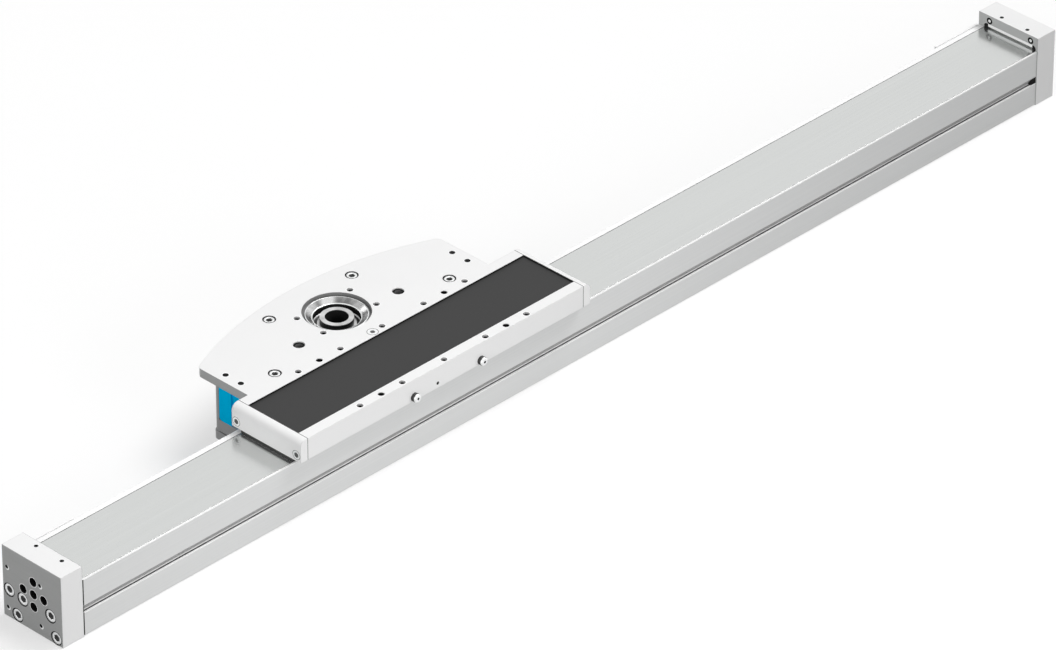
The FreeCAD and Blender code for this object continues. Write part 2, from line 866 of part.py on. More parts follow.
def build():
    os.makedirs("parts", exist_ok=True)
    near_idler = hub_x - idler_dx
    far_idler = hub_x + idler_dx
    strip_end = half_profile + strip_pocket_depth - strip_end_gap
    bar = strip_clamp_bar()
    clamp = belt_clamp()
    clamp_seat = belt_clamp_seat()
    slide_cap = slide_end_cap()
    wiper = strip_wiper()
    guide = strip_guide()
    side_cover = belt_side_cover()

    save("profile", profile())
    save("end_cap_near", end_cap(True))
    save("end_cap_far", mirrored(end_cap(False), 0))
    save("guide_rail", guide_rail())
    save("strip_clamp_bars", [bar, mirrored(bar, 0)])
    save("belt_clamp_near", clamp)
    save("belt_clamp_far", mirrored(clamp, 0))
    save("belt_clamp_seats", [clamp_seat, mirrored(clamp_seat, 0)])
    save("belt_run_near", belt_run(-half_profile, near_idler))
    save("belt_run_far", belt_run(far_idler, half_profile))
    save("cover_strip_near", cover_strip(-strip_end, slide_x - slide_total / 2))
    save("cover_strip_far", cover_strip(slide_x + slide_total / 2, strip_end))

    save("slide_plate", slide_plate())
    save("cover_panel", cover_panel())
    save("slide_end_cap_near", slide_cap)
    save("slide_end_cap_far", mirrored(slide_cap, slide_x))
    save("strip_wipers", [wiper, mirrored(wiper, slide_x)])
    save("strip_guides", [guide, mirrored(guide, slide_x)])
    save("cover_strip_bow", cover_strip_bow())
    save("guide_carriage_near", guide_carriage(-1))
    save("guide_carriage_far", guide_carriage(1))
    save("carriage_seals", carriage_seals())
    save("lube_nipples", lube_nipples())
    save("drive_housing", drive_housing())
    save("drive_base_plate", drive_base_plate())
    save("belt_side_cover_near", side_cover)
    save("belt_side_cover_far", mirrored(side_cover, hub_x))
    save("bearing_cover_ring", bearing_cover_ring())
    save("upper_bearing_outer_ring", upper_bearing_outer_ring())
    save("idler_axles", idler_axles())
    save("belt_loop", belt_loop())

    save("drive_pulley", drive_pulley())
    save("idler_roller_near", idler_roller(-1))
    save("idler_roller_far", idler_roller(1))


build()
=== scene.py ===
import json
import math

import bmesh
import bpy
from bpy.props import FloatProperty, FloatVectorProperty, IntProperty, PointerProperty
from mathutils import Matrix, Quaternion, Vector


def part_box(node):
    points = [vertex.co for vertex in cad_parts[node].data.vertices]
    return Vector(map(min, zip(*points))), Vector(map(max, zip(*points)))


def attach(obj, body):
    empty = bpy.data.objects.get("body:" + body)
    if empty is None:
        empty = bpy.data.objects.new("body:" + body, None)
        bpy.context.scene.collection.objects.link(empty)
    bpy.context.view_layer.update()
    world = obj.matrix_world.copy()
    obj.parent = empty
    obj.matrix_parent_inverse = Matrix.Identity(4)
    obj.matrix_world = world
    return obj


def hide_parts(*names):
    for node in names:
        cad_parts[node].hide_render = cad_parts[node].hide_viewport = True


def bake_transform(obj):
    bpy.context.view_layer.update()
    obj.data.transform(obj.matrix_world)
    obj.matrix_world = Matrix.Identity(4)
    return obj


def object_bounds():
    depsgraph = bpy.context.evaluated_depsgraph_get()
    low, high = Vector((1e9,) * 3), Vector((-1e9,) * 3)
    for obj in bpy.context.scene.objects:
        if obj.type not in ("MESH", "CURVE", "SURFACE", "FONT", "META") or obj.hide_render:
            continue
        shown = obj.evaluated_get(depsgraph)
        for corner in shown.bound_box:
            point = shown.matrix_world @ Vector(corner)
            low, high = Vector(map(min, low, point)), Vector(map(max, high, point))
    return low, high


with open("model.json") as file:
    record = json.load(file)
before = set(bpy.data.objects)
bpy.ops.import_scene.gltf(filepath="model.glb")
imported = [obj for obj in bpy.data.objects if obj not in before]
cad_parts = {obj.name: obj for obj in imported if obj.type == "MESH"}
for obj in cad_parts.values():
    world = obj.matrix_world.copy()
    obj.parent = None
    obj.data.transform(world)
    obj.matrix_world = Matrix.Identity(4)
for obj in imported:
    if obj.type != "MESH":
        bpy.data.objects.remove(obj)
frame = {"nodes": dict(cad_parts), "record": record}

bl_info = {
    "name": "Belt Axis Dresser",
    "version": (1, 0, 0),
    "blender": (4, 5, 0),
    "location": "View3D > Sidebar > Belt Axis",
    "description": "Finishes, screws, threads, strip, belt and stage for a belt driven linear axis",
    "category": "Object",
}

# Sizes are in metres unless a comment says otherwise. X runs along the profile from its near end to its
# far end, Y from its front to the drive unit behind it, and Z up.
CAD_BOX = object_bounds()
MOUNT = {m["name"]: m for m in frame["record"]["mounts"]}
HUB = Vector(MOUNT["drive_hub_bore"]["pos_m"])
SLIDE = Vector(MOUNT["payload_centre_bolts"]["pos_m"])
MM = 0.001
Z = Vector((0, 0, 1))
LIFT = 0.00001  # of flat marks over their face, and of seams to either side of theirs
LIP = 0.0194  # height of the lower edge of the groove in the profile's front
GROOVE_TOP = 0.0254
WING_END = HUB.x - 0.1214  # x of the upright face at the wing's near end
PANEL_FLANGE = 0.0017  # width of the panel's edge that its grooves hide


class AxisSizes(bpy.types.PropertyGroup):
    """Sizes of the small pieces that the bare frame lacks."""
    head_sink: FloatProperty(
        name="Head sink", description="How deep screw heads lie below the face around them",
        default=0.0003, min=0.0, unit="LENGTH")
    key_share: FloatProperty(
        name="Key share", description="Width of the hexagon socket as a share of the head's radius",
        default=1.02, min=0.4, max=1.4, subtype="FACTOR")
    chamfer: FloatProperty(
        name="Thread chamfer", description="Width of the bare chamfer round each thread",
        default=0.0009, min=0.0, unit="LENGTH")
    thread_pitch: FloatProperty(
        name="Thread pitch", description="Distance from one thread crest to the next",
        default=0.0008, min=0.0003, unit="LENGTH")
    ring_steps: IntProperty(
        name="Ring steps", description="Sides of each round piece", default=36, min=12, max=96)


class AxisColours(bpy.types.PropertyGroup):
    """Base colours of the finishes, as linear values."""
    coat: FloatVectorProperty(
        name="White coat", description="Powder coat of slide and end caps",
        subtype="COLOR", size=3, min=0, max=1, default=(0.85, 0.85, 0.85))
    # Darker colour painted as shade on end faces that face away from the light, with milling lines
    milled_shade: FloatVectorProperty(
        name="Milled", description="Bare milled end faces of the end caps",
        subtype="COLOR", size=3, min=0, max=1, default=(0.375, 0.38, 0.377))
    # Colour of painted highlight along the profile's top edges and the groove's lip, also lightening the
    # chamfers of threads
    rim_highlight: FloatVectorProperty(
        name="Ground rims", description="Bright level edges of the profile",
        subtype="COLOR", size=3, min=0, max=1, default=(0.97, 0.97, 0.97))
    anodised: FloatVectorProperty(
        name="Anodised", description="Natural anodised aluminium of the profile",
        subtype="COLOR", size=3, min=0, max=1, default=(0.745, 0.752, 0.75))
    strip: FloatVectorProperty(
        name="Strip", description="Brushed steel of the cover strip",
        subtype="COLOR", size=3, min=0, max=1, default=(0.655, 0.668, 0.66))
    cover: FloatVectorProperty(
        name="Side cover", description="Blue plastic of the two side covers",
        subtype="COLOR", size=3, min=0, max=1, default=(0.0, 0.57, 1.0))
    housing: FloatVectorProperty(
        name="Housing", description="Grey coat of the drive housing",
        subtype="COLOR", size=3, min=0, max=1, default=(0.33, 0.33, 0.33))
    panel: FloatVectorProperty(
        name="Panel", description="Dark panel along the slide",
        subtype="COLOR", size=3, min=0, max=1, default=(0.026, 0.026, 0.026))
    steel: FloatVectorProperty(
        name="Steel", description="Ground and turned steel",
        subtype="COLOR", size=3, min=0, max=1, default=(0.60, 0.60, 0.60))
    screws: FloatVectorProperty(
        name="Screws", description="Plated screw heads",
        subtype="COLOR", size=3, min=0, max=1, default=(0.86, 0.87, 0.87))


class AxisSettings(bpy.types.PropertyGroup):
    """Everything that a user may change."""
    sizes: PointerProperty(name="Sizes", description="Sizes of the small pieces", type=AxisSizes)
    colours: PointerProperty(name="Colours", description="Base colours of the finishes", type=AxisColours)


class Value:
    """An output socket that works in expressions; each operator adds its node."""

    def __init__(self, shader, socket):
        self.shader = shader
        self.socket = socket

    def maths(self, operation, first, second=0.0):
        return self.shader.node("ShaderNodeMath", {"operation": operation}, {0: first, 1: second})

    def __add__(self, other):
        return self.maths("ADD", self, other)

    __radd__ = __add__

    def __mul__(self, other):
        return self.maths("MULTIPLY", self, other)

    __rmul__ = __mul__

    def __sub__(self, other):
        return self.maths("SUBTRACT", self, other)

    def __rsub__(self, other):
        return self.maths("SUBTRACT", other, self)

    def __truediv__(self, other):
        return self.maths("DIVIDE", self, other)

    def __pow__(self, other):
        return self.maths("POWER", self, other)

    def sin(self):
        return self.maths("SINE", self)

    def __abs__(self):
        return self.maths("ABSOLUTE", self)


class Shader:
    """A node tree with a Principled shader, or that of the world with a Background shader."""

    def __init__(self, owner, surface="Principled BSDF"):
        self.owner = owner
        owner.use_nodes = True
        self.tree = owner.node_tree
        self.surface = self.tree.nodes[surface]

    def connect(self, value, socket):
        if isinstance(value, Value):
            self.tree.links.new(value.socket, socket)
        elif socket.type == "RGBA" and len(value) == 3:
            socket.default_value = (*value, 1.0)
        else:
            socket.default_value = value

    def make(self, kind, settings, inputs):
        """Adds a node: its settings first, then the values or links of its sockets."""
        made = self.tree.nodes.new(kind)
        for key, value in settings.items():
            setattr(made, key, value)
        for key, value in inputs.items():
            self.connect(value, made.inputs[key])
        return made

    def node(self, kind, settings, inputs, out=0):
        return Value(self, self.make(kind, settings, inputs).outputs[out])

    def mix(self, share, first, second):
        return self.node("ShaderNodeMix", {"data_type": "RGBA"}, {0: share, 6: first, 7: second}, 2)

    def place(self):
        return self.node("ShaderNodeTexCoord", {}, {}, "Object")

    def stretched(self, scale):
        return self.node("ShaderNodeMapping", {}, {"Vector": self.place(), "Scale": scale})

    def noise(self, vector, scale, detail, roughness=0.5):
        return self.node("ShaderNodeTexNoise", {}, {
            "Vector": vector, "Scale": scale, "Detail": detail, "Roughness": roughness})

    def above(self, value, limit):
        """1 where value is over limit, and 0 elsewhere."""
        return self.node("ShaderNodeMath", {"operation": "GREATER_THAN"}, {0: value, 1: limit})

    def parts(self, vector):
        made = self.make("ShaderNodeSeparateXYZ", {}, {0: vector})
        return [Value(self, made.outputs[i]) for i in range(3)]

    def radius(self, centre):
        """Distance from an upright axis through centre."""
        x, y, _ = self.parts(self.place())
        dx = x - centre.x
        dy = y - centre.y
        return (dx * dx + dy * dy) ** 0.5

    def studio_rays(self):
        """1 for rays of the camera and of reflections, and 0 for the rest."""
        path = self.make("ShaderNodeLightPath", {}, {})
        return self.node("ShaderNodeMath", {"operation": "MAXIMUM"}, {
            0: Value(self, path.outputs["Is Camera Ray"]), 1: Value(self, path.outputs["Is Glossy Ray"])})

    def softened(self, radius):
        return self.node("ShaderNodeBevel", {"samples": 4}, {"Radius": radius})

    def bump(self, height, strength, distance, base=None):
        inputs = {"Height": height, "Strength": strength, "Distance": distance}
        if base is not None:
            inputs["Normal"] = base
        return self.node("ShaderNodeBump", {}, inputs)

    def finish(self, **inputs):
        for key, value in inputs.items():
            self.connect(value, self.surface.inputs[key.replace("_", " ")])
        return self.owner


def new_shader(name):
    """The shader of a new material."""
    return Shader(bpy.data.materials.new(name))


def shade(colour, factor):
    """A lighter or darker tint of a colour."""
    return tuple(min(1.0, c * factor) for c in colour)


def coated_metal(name, colour, roughness=0.42, peel=0.10, edge=0.0004, sheen=0.5, shaded_bare=None, wall=None):
    """Powder coat: fine orange peel, a hint of cloudiness and soft edges.

    The two keyword pairs each hold the function that makes a mask and the colour there: the first paints
    end faces darker as shade, with milling lines, the second paints shade on the wall of a bore.
    """
    s = new_shader(name)
    cloud = s.noise(s.place(), 22.0, 3.0)
    fine = s.noise(s.place(), 1400.0, 2.0)
    base = s.mix(cloud, shade(colour, 0.975), shade(colour, 1.02))
    base = s.mix(fine * 0.35, base, shade(colour, 0.95))
    rough = roughness + (fine - 0.5) * 0.12
    # Painted shade: end faces that face away from the light are darker, with milling lines along them
    if shaded_bare:
        where = shaded_bare[0](s)
        lines = s.noise(s.stretched((1.0, 60.0, 900.0)), 1.0, 3.0)
        base = s.mix(where, base, s.mix(lines, shade(shaded_bare[1], 0.93), shade(shaded_bare[1], 1.05)))
        rough = rough + where * 0.06
    # Painted shade on the wall of the bearing's bore
    if wall:
        base = s.mix(wall[0](s), base, s.mix(fine, shade(wall[1], 0.8), shade(wall[1], 1.2)))
    s.surface.inputs["Specular IOR Level"].default_value = sheen
    return s.finish(
        Base_Color=base, Roughness=rough,
        Normal=s.bump(fine, peel, 0.0001, s.softened(edge)))


def shaded_cap_faces(s):
    """Mask of the end caps' outer and inner end faces, painted darker as shade."""
    reach = abs(s.parts(s.place())[0])
    outer = s.above(reach, CAD_BOX[1][0] - 0.0004)
    inner = s.above(reach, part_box("profile")[1].x + 0.0002)
    return outer + 1.0 - inner


def shaded_wing_end_face(s):
    """Mask of the wing's upright near end face, painted darker as shade."""
    x, y, _ = s.parts(s.place())
    face = s.above(0.00025, abs(x - WING_END))
    return face * s.above(y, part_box("belt_side_cover_near")[0].y)


def shaded_pilot_wall(s):
    """Mask of the wall of the bore in which the bearing's ring lies, painted dark as shade."""
    height = s.parts(s.place())[2]
    reach = MOUNT["motor_pilot"]["dims"]["r_mm"] * MM + 0.0003
    return s.above(reach, s.radius(HUB)) * s.above(SLIDE.z - 0.0002, height)


def grained_metal(name, colour, metallic, roughness, stretch, depth=0.15, edge=0.0003):
    """Metal with a fine grain; a smaller number in stretch draws the grain out along that axis."""
    s = new_shader(name)
    grain = s.noise(s.stretched(stretch), 1.0, 4.0, 0.6)
    broad = s.noise(s.stretched(tuple(v * 0.2 for v in stretch)), 1.0, 2.0)
    base = s.mix(grain, shade(colour, 0.92), shade(colour, 1.06))
    return s.finish(
        Base_Color=s.mix(broad * 0.5, base, shade(colour, 0.96)),
        Metallic=metallic,
        Roughness=roughness + (grain - 0.5) * 0.18,
        Normal=s.bump(grain, depth, 0.00005, s.softened(edge)))


def anodised_extrusion(name, colour, rim_highlight):
    """Drawn aluminium: lines along its length, painted highlight along its top edges and the lip of its
    groove, and painted shade inside the groove.
    """
    s = new_shader(name)
    _, y, z = s.parts(s.place())
    low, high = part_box("profile")
    grain = s.noise(s.stretched((3.0, 900.0, 900.0)), 1.0, 4.0, 0.6)
    base = s.mix(grain, shade(colour, 0.94), shade(colour, 1.05))
    front = s.above(low.y + 0.0095, y)
    # Painted shade inside the groove, and a black line of painted shade under its lip
    reach = (GROOVE_TOP - LIP) / 2
    inside = s.above(y, low.y + 0.00025) * s.above(reach, abs(z - LIP - reach)) * front
    base = s.mix(inside, base, s.mix(grain, shade(colour, 0.56), shade(colour, 0.66)))
    undercut_shade = s.above(y, low.y + 0.0012) * s.above(LIP - 0.0002, z) * s.above(z, LIP - 0.0064) * front
    base = s.mix(undercut_shade, base, shade(colour, 0.05))
    # Painted highlight: bright bands along the top edges and the groove's lip
    highlight_reach = 0.0006
    for height in (high.z, LIP):
        base = s.mix(s.above(highlight_reach, abs(z - height)), base, rim_highlight)
    s.surface.inputs["Specular IOR Level"].default_value = 0.3
    return s.finish(
        Base_Color=base, Roughness=0.42 + (grain - 0.5) * 0.18,
        Normal=s.bump(grain, 0.15, 0.00005, s.softened(0.0003)))


def moulded_plastic(name, colour, roughness, edge=0.0003, sheen=0.5):
    """Moulded plastic with a fine spark eroded texture."""
    s = new_shader(name)
    fine = s.noise(s.place(), 2600.0, 2.0)
    broad = s.noise(s.place(), 60.0, 2.0)
    base = s.mix(broad, shade(colour, 0.94), shade(colour, 1.04))
    s.surface.inputs["Specular IOR Level"].default_value = sheen
    return s.finish(
        Base_Color=s.mix(fine * 0.3, base, shade(colour, 0.85)),
        Roughness=roughness + (fine - 0.5) * 0.16,
        Normal=s.bump(fine, 0.25, 0.00008, s.softened(edge)))


def cast_metal(name, colour):
    """Satin coat over a casting: slightly rough, with a fine pebble."""
    s = new_shader(name)
    pebble = s.noise(s.place(), 900.0, 4.0, 0.6)
    broad = s.noise(s.place(), 35.0, 2.0)
    base = s.mix(broad, shade(colour, 0.93), shade(colour, 1.05))
    return s.finish(
        Base_Color=s.mix(pebble * 0.5, base, shade(colour, 0.9)),
        Roughness=0.5 + (pebble - 0.5) * 0.2,
        Normal=s.bump(pebble, 0.3, 0.0001, s.softened(0.0004)))


def turned_metal(name, colour, centre, roughness, sheen_streaks, shade_band=None):
    """Bright turned steel: radial bands of painted highlight and shade stand in for its sheen, over fine
    rings of tool marks.

    shade_band is (lowest, highest) of a stretch painted black as shade.
    """
    s = new_shader(name)
    x, y, z = s.parts(s.place())
    radius = s.radius(centre)
    around = s.node("ShaderNodeCombineXYZ", {}, {
        0: (x - centre.x) / radius, 1: (y - centre.y) / radius, 2: z * 40.0})
    # Painted highlight and shade in radial bands round the centre
    sheen_streak = s.noise(around, 1.5, 2.0, 0.4)
    rings = (radius * 9000.0 + z * 9000.0).sin() * 0.5 + 0.5
    share = (sheen_streak - 0.5) * sheen_streaks * 8.0 + 0.45
    base = s.mix(share, shade(colour, 0.25), shade(colour, 1.25))
    base = s.mix(rings * 0.25, base, shade(colour, 0.7))
    if shade_band:
        low, high = shade_band
        base = s.mix(s.above(z, low) * s.above(high, z), base, (0.03, 0.03, 0.03))
    return s.finish(
        Base_Color=base, Metallic=0.9, Roughness=roughness + rings * 0.08,
        Normal=s.bump(rings, 0.05, 0.00003, s.softened(0.0002)))


def belt_cover(name, colour):
    """The fabric face on the back of a toothed belt."""
    s = new_shader(name)
    x, _, z = s.parts(s.place())
    weave = (x * 9000.0).sin() * (z * 9000.0).sin()
    fine = s.noise(s.place(), 1200.0, 2.0)
    return s.finish(
        Base_Color=s.mix(weave * 0.25 + fine * 0.5, shade(colour, 1.25), shade(colour, 0.8)),
        Roughness=0.62 + fine * 0.1,
        Normal=s.bump(weave, 0.2, 0.00008))


def bearing_seal(name, centre):
    """Black rubber seal with concentric beads between the bearing's rings."""
    s = new_shader(name)
    radius = s.radius(centre)
    beads = (radius * 3600.0).sin() * 0.5 + 0.5
    fine = s.noise(s.place(), 1500.0, 2.0)
    return s.finish(
        Base_Color=s.mix(beads * 0.5 + fine * 0.3, (0.012, 0.012, 0.012), (0.05, 0.05, 0.05)),
        Roughness=0.45 + fine * 0.15,
        Normal=s.bump(beads, 0.5, 0.0002))


def unlit(name, level):
    """Painted shade: the dark inside of gaps, sockets and deep holes."""
    s = new_shader(name)
    s.surface.inputs["Specular IOR Level"].default_value = 0.05
    fine = s.noise(s.place(), 900.0, 2.0)
    return s.finish(Base_Color=s.mix(fine, (level * 0.5,) * 3, (level,) * 3), Roughness=0.7 + fine * 0.1)


FINISH = {}


def make_finishes(c):
    """Makes each finish from the colours c."""
    # Colour painted as shade on end faces that face away from the light
    milled_shade = c.milled_shade[:]
    # Grey painted as shade on the wall of the bearing's bore
    bore_shade = (0.20, 0.20, 0.20)
    # Stretch of the shaft's bore that is painted black as shade
    neck_shade = (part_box("upper_bearing_outer_ring")[1].z + 0.0002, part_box("drive_pulley")[1].z - 0.0006)
    FINISH.update({
        "coat": coated_metal(
            "white_powder_coat", c.coat[:], shaded_bare=(shaded_wing_end_face, milled_shade), wall=(shaded_pilot_wall, bore_shade)),
        "caps": coated_metal("end_cap_coat", c.coat[:], edge=0.0005, shaded_bare=(shaded_cap_faces, milled_shade)),
        "slide_caps": moulded_plastic("white_cap_plastic", shade(c.coat[:], 1.04), 0.38, 0.0006),
        "anodised": anodised_extrusion("anodised_profile", c.anodised[:], c.rim_highlight[:]),
        "strip": grained_metal("brushed_strip", c.strip[:], 0.95, 0.2, (4.0, 1500.0, 600.0), 0.12),
        "steel": grained_metal("ground_steel", c.steel[:], 0.8, 0.34, (500.0, 500.0, 12.0)),
        "bright": turned_metal("turned_ring", c.steel[:], HUB, 0.22, 0.6),
        "bar": grained_metal("clamp_bar_steel", shade(c.steel[:], 1.4), 0.1, 0.35, (600.0, 6.0, 600.0)),
        "shaft": turned_metal("turned_shaft", shade(c.steel[:], 1.4), HUB, 0.3, 0.1, neck_shade),
        "seal": bearing_seal("shaft_seal", HUB),
        "panel": coated_metal("dark_panel_coat", c.panel[:], 0.55, 0.2, 0.0003, sheen=0.25),
        "black": moulded_plastic("black_plastic", (0.014, 0.014, 0.014), 0.5),
        "blue": moulded_plastic("blue_cover_plastic", c.cover[:], 0.5, sheen=0.0),
        "grey": cast_metal("grey_housing_coat", c.housing[:]),
        "base": cast_metal("grey_base_coat", shade(c.housing[:], 1.08)),
        "belt": belt_cover("belt_back", (0.045, 0.045, 0.045)),
        "screw": grained_metal("plated_screw", c.screws[:], 0.5, 0.32, (900.0, 900.0, 900.0), 0.1, 0.0002),
        # Chamfers of threads, bare and painted lighter as highlight
        "thread": grained_metal("chamfer_highlight", shade(c.rim_highlight[:], 1.1), 0.2, 0.35, (800.0, 800.0, 800.0)),
        "bore": grained_metal("oiled_thread", (0.60, 0.60, 0.60), 0.3, 0.45, (800.0, 800.0, 800.0)),
        "socket": unlit("socket_shade", 0.16),
        "gap": unlit("unlit_gap", 0.022),
    })


NODE_FINISH = {
    "profile": "anodised", "guide_rail": "steel", "strip_clamp_bars": "bar",
    "end_cap_near": "caps", "end_cap_far": "caps", "belt_clamp_near": "anodised",
    "belt_clamp_far": "anodised", "belt_clamp_seats": "anodised", "belt_run_near": "belt",
    "belt_run_far": "belt", "cover_strip_near": "strip", "cover_strip_far": "strip",
    "slide_plate": "coat", "cover_panel": "panel", "slide_end_cap_near": "slide_caps",
    "slide_end_cap_far": "slide_caps", "strip_wipers": "black", "strip_guides": "black",
    "cover_strip_bow": "strip", "guide_carriage_near": "steel", "guide_carriage_far": "steel",
    "carriage_seals": "black", "lube_nipples": "black", "drive_housing": "grey",
    "drive_base_plate": "base", "belt_side_cover_near": "blue", "belt_side_cover_far": "blue",
    "bearing_cover_ring": "bright", "upper_bearing_outer_ring": "seal", "idler_axles": "steel",
    "belt_loop": "belt", "drive_pulley": "shaft",
    "idler_roller_near": "steel", "idler_roller_far": "steel",
}


def piece(name, mesh_builder, finishes, body):
    """Turns a bmesh into an object with its finishes, which rides on a body unless that is None."""
    mesh = bpy.data.meshes.new(name)
    bmesh.ops.recalc_face_normals(mesh_builder, faces=mesh_builder.faces)
    mesh_builder.to_mesh(mesh)
    mesh_builder.free()
    made = bpy.data.objects.new(name, mesh)
    for finish in finishes:
        mesh.materials.append(FINISH[finish])
    bpy.context.scene.collection.objects.link(made)
    if body is not None:
        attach(made, body)
    return made


def facing(origin, axis):
    """The matrix that stands a piece made along +Z at origin, pointing along axis."""
    turn = Vector(axis).to_track_quat("Z", "Y").to_matrix().to_4x4()
    return Matrix.Translation(Vector(origin)) @ turn


def loops(bm, rings, matrix, slots, close_last=True):
    """Joins rings of points with faces; slots gives each band's material slot, and the last ring's."""
    made = [[bm.verts.new(matrix @ p) for p in ring] for ring in rings]
    for band, (low, high) in enumerate(zip(made, made[1:])):
        count = len(low)
        for i in range(count):
            j = (i + 1) % count
            face = bm.faces.new((low[i], low[j], high[j], high[i]))
            face.material_index = slots[band]
            face.smooth = True
    if close_last:
        bm.faces.new(made[-1]).material_index = slots[-1]


def circle(radius, height, steps):
    """Points on a circle round Z."""
    return [Vector((radius * math.cos(a), radius * math.sin(a), height))
            for a in (2 * math.pi * i / steps for i in range(steps))]


def hexagon(width, height, steps):
    """Points on a hexagon's outline, as many as the circle it joins."""
    points = []
    for i in range(steps):
        a = 2 * math.pi * i / steps
        reach = width / 2 / math.cos((a + math.pi / 6) % (math.pi / 3) - math.pi / 6)
        points.append(Vector((reach * math.cos(a), reach * math.sin(a), height)))
    return points


def add_gap(bm, origin, axis, inner, outer, depth, steps):
    """A dark ring of painted shade: the floor of the gap round a head, depth below origin."""
    loops(bm, [circle(outer, -depth, steps), circle(inner, -depth, steps)], facing(origin, axis), [1],
          close_last=False)


def add_flat_screw(bm, origin, axis, radius, key, steps, outline=1.09):
    """A head that is flush with a face that has no pocket, drawn with its gap and socket as painted shade."""
    rings = [
        circle(radius * outline, LIFT, steps), circle(radius, LIFT, steps),
        circle(radius * 0.95, LIFT * 2, steps), hexagon(key * 1.08, LIFT * 2, steps),
        hexagon(key, LIFT * 1.5, steps), circle(key * 0.1, LIFT * 1.4, steps),
    ]
    loops(bm, rings, facing(origin, axis), [1, 0, 0, 2, 2, 2])


def add_flat_thread(bm, origin, axis, radius, chamfer, steps, shift=(0, 0, 0)):
    """The mouth of a small thread drawn on a face: its chamfer as a light ring of painted highlight, and its
    inside as a dark disc of painted shade, moved by shift so that a crescent of painted highlight shows.
    """
    mouth = [circle(radius + chamfer * 0.8, LIFT, steps), circle(radius * 0.2, LIFT, steps)]
    loops(bm, mouth, facing(origin, axis), [0])
    inside = [circle(radius, LIFT * 2, steps), circle(radius * 0.2, LIFT * 2, steps)]
    loops(bm, inside, facing(Vector(origin) + Vector(shift), axis), [1])


def add_screw(bm, origin, axis, radius, height, key, steps):
    """A socket head whose top is at origin, facing along axis; its socket is painted dark as shade."""
    rim = radius * 0.12
    rings = [
        circle(radius, -height, steps),
        circle(radius, -rim, steps),
        circle(radius - rim * 0.4, -rim * 0.35, steps),
        circle(radius - rim, 0.0, steps),
        hexagon(key * 1.08, 0.0, steps),
        hexagon(key, -rim * 0.4, steps),
        hexagon(key, -height * 0.55, steps),
        circle(key * 0.2, -height * 0.66, steps),
    ]
    loops(bm, rings, facing(origin, axis), [0, 0, 0, 0, 0, 2, 2, 1])


def add_thread(bm, origin, axis, radius, depth, pitch, chamfer, steps, lit):
    """A chamfer ring on the face, its outer band lighter as painted highlight and its inner band dark as
    painted shade, and crests down the inside of a hole, black as painted shade below the depth lit.
    """
    matrix = facing(origin, axis)
    collar = [circle(r, LIFT, steps) for r in (radius + chamfer, radius + chamfer * 0.35, radius)]
    loops(bm, collar, matrix, [0, 1], close_last=False)
    rings = []
    slots = []
    turns = int(depth / pitch)
    for turn in range(turns):
        top = -turn * pitch
        rings.append(circle(radius * 0.999, top, steps))
        rings.append(circle(radius - pitch * 0.32, top - pitch * 0.5, steps))
        slots += [2 if turn * pitch < lit else 1] * 2
    rings.append(circle(radius * 0.999, -turns * pitch, steps))
    loops(bm, rings, matrix, slots + [1])


def pattern(name):
    """Places of a mount's holes, and its axis."""
    mount = MOUNT[name]
    centre = Vector(mount["pos_m"])
    axis = Vector(mount["axis"])
    across = [Vector(v) for v in ((1, 0, 0), (0, 1, 0), (0, 0, 1)) if abs(Vector(v).dot(axis)) < 0.5]
    dims = mount["dims"]
    if "pcd_mm" in dims:
        reach = dims["pcd_mm"] / 2 * MM
        return [centre + v * reach * side for v in across for side in (-1, 1)], axis
    first = dims.get("spacing_x_mm", 0) * MM / 2
    second = dims.get("spacing_y_mm", 0) * MM / 2
    places = []
    for a in ((-1, 1) if first else (0,)):
        for b in ((-1, 1) if second else (0,)):
            places.append(centre + across[0] * first * a + across[1] * second * b)
    return places, axis


def settings(context):
    """The settings that the panel shows."""
    return context.scene.belt_axis


class AXIS_OT_finishes(bpy.types.Operator):
    """Gives every node of the frame its finish"""
    bl_idname = "belt_axis.finishes"
    bl_label = "Finish the Frame"

    def execute(self, context):
        make_finishes(settings(context).colours)
        for node, finish in NODE_FINISH.items():
            made = frame["nodes"][node]
            made.data.materials.clear()
            made.data.materials.append(FINISH[finish])
        missing = set(frame["nodes"]) - set(NODE_FINISH)
        if missing:
            raise RuntimeError("no finish for " + ", ".join(sorted(missing)))
        return {"FINISHED"}


def add_bar(bm, low, high):
    """A straight bar with points at its two ends only, so that it stays flat when it stretches."""
    made = bmesh.ops.create_cube(bm, size=1.0)
    centre = (low + high) / 2
    size = high - low
    for v in made["verts"]:
        v.co = centre + Vector(v.co[i] * size[i] for i in range(3))


def stretching(name, node, finish):
    """A band that replaces a node, made as a plain bar over the node's bounds."""
    low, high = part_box(node)
    bm = bmesh.new()
    add_bar(bm, low, high)
    band = piece(name, bm, [finish], None)
    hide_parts(node)
    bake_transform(band)


class AXIS_OT_bands(bpy.types.Operator):
    """Makes the two flat lengths of the cover strip and the two straight runs of the belt"""
    bl_idname = "belt_axis.bands"
    bl_label = "Strip and Belt"

    def execute(self, context):
        stretching("strip_length_near", "cover_strip_near", "strip")
        stretching("strip_length_far", "cover_strip_far", "strip")
        stretching("belt_length_near", "belt_run_near", "belt")
        stretching("belt_length_far", "belt_run_far", "belt")
        return {"FINISHED"}


CLAMP_HEAD = 0.003  # radius of each kind of socket head
M4_HEAD = 0.0035
M5_HEAD = 0.00425
M6_HEAD = 0.005
HEAD_FINISHES = ["screw", "gap", "socket"]

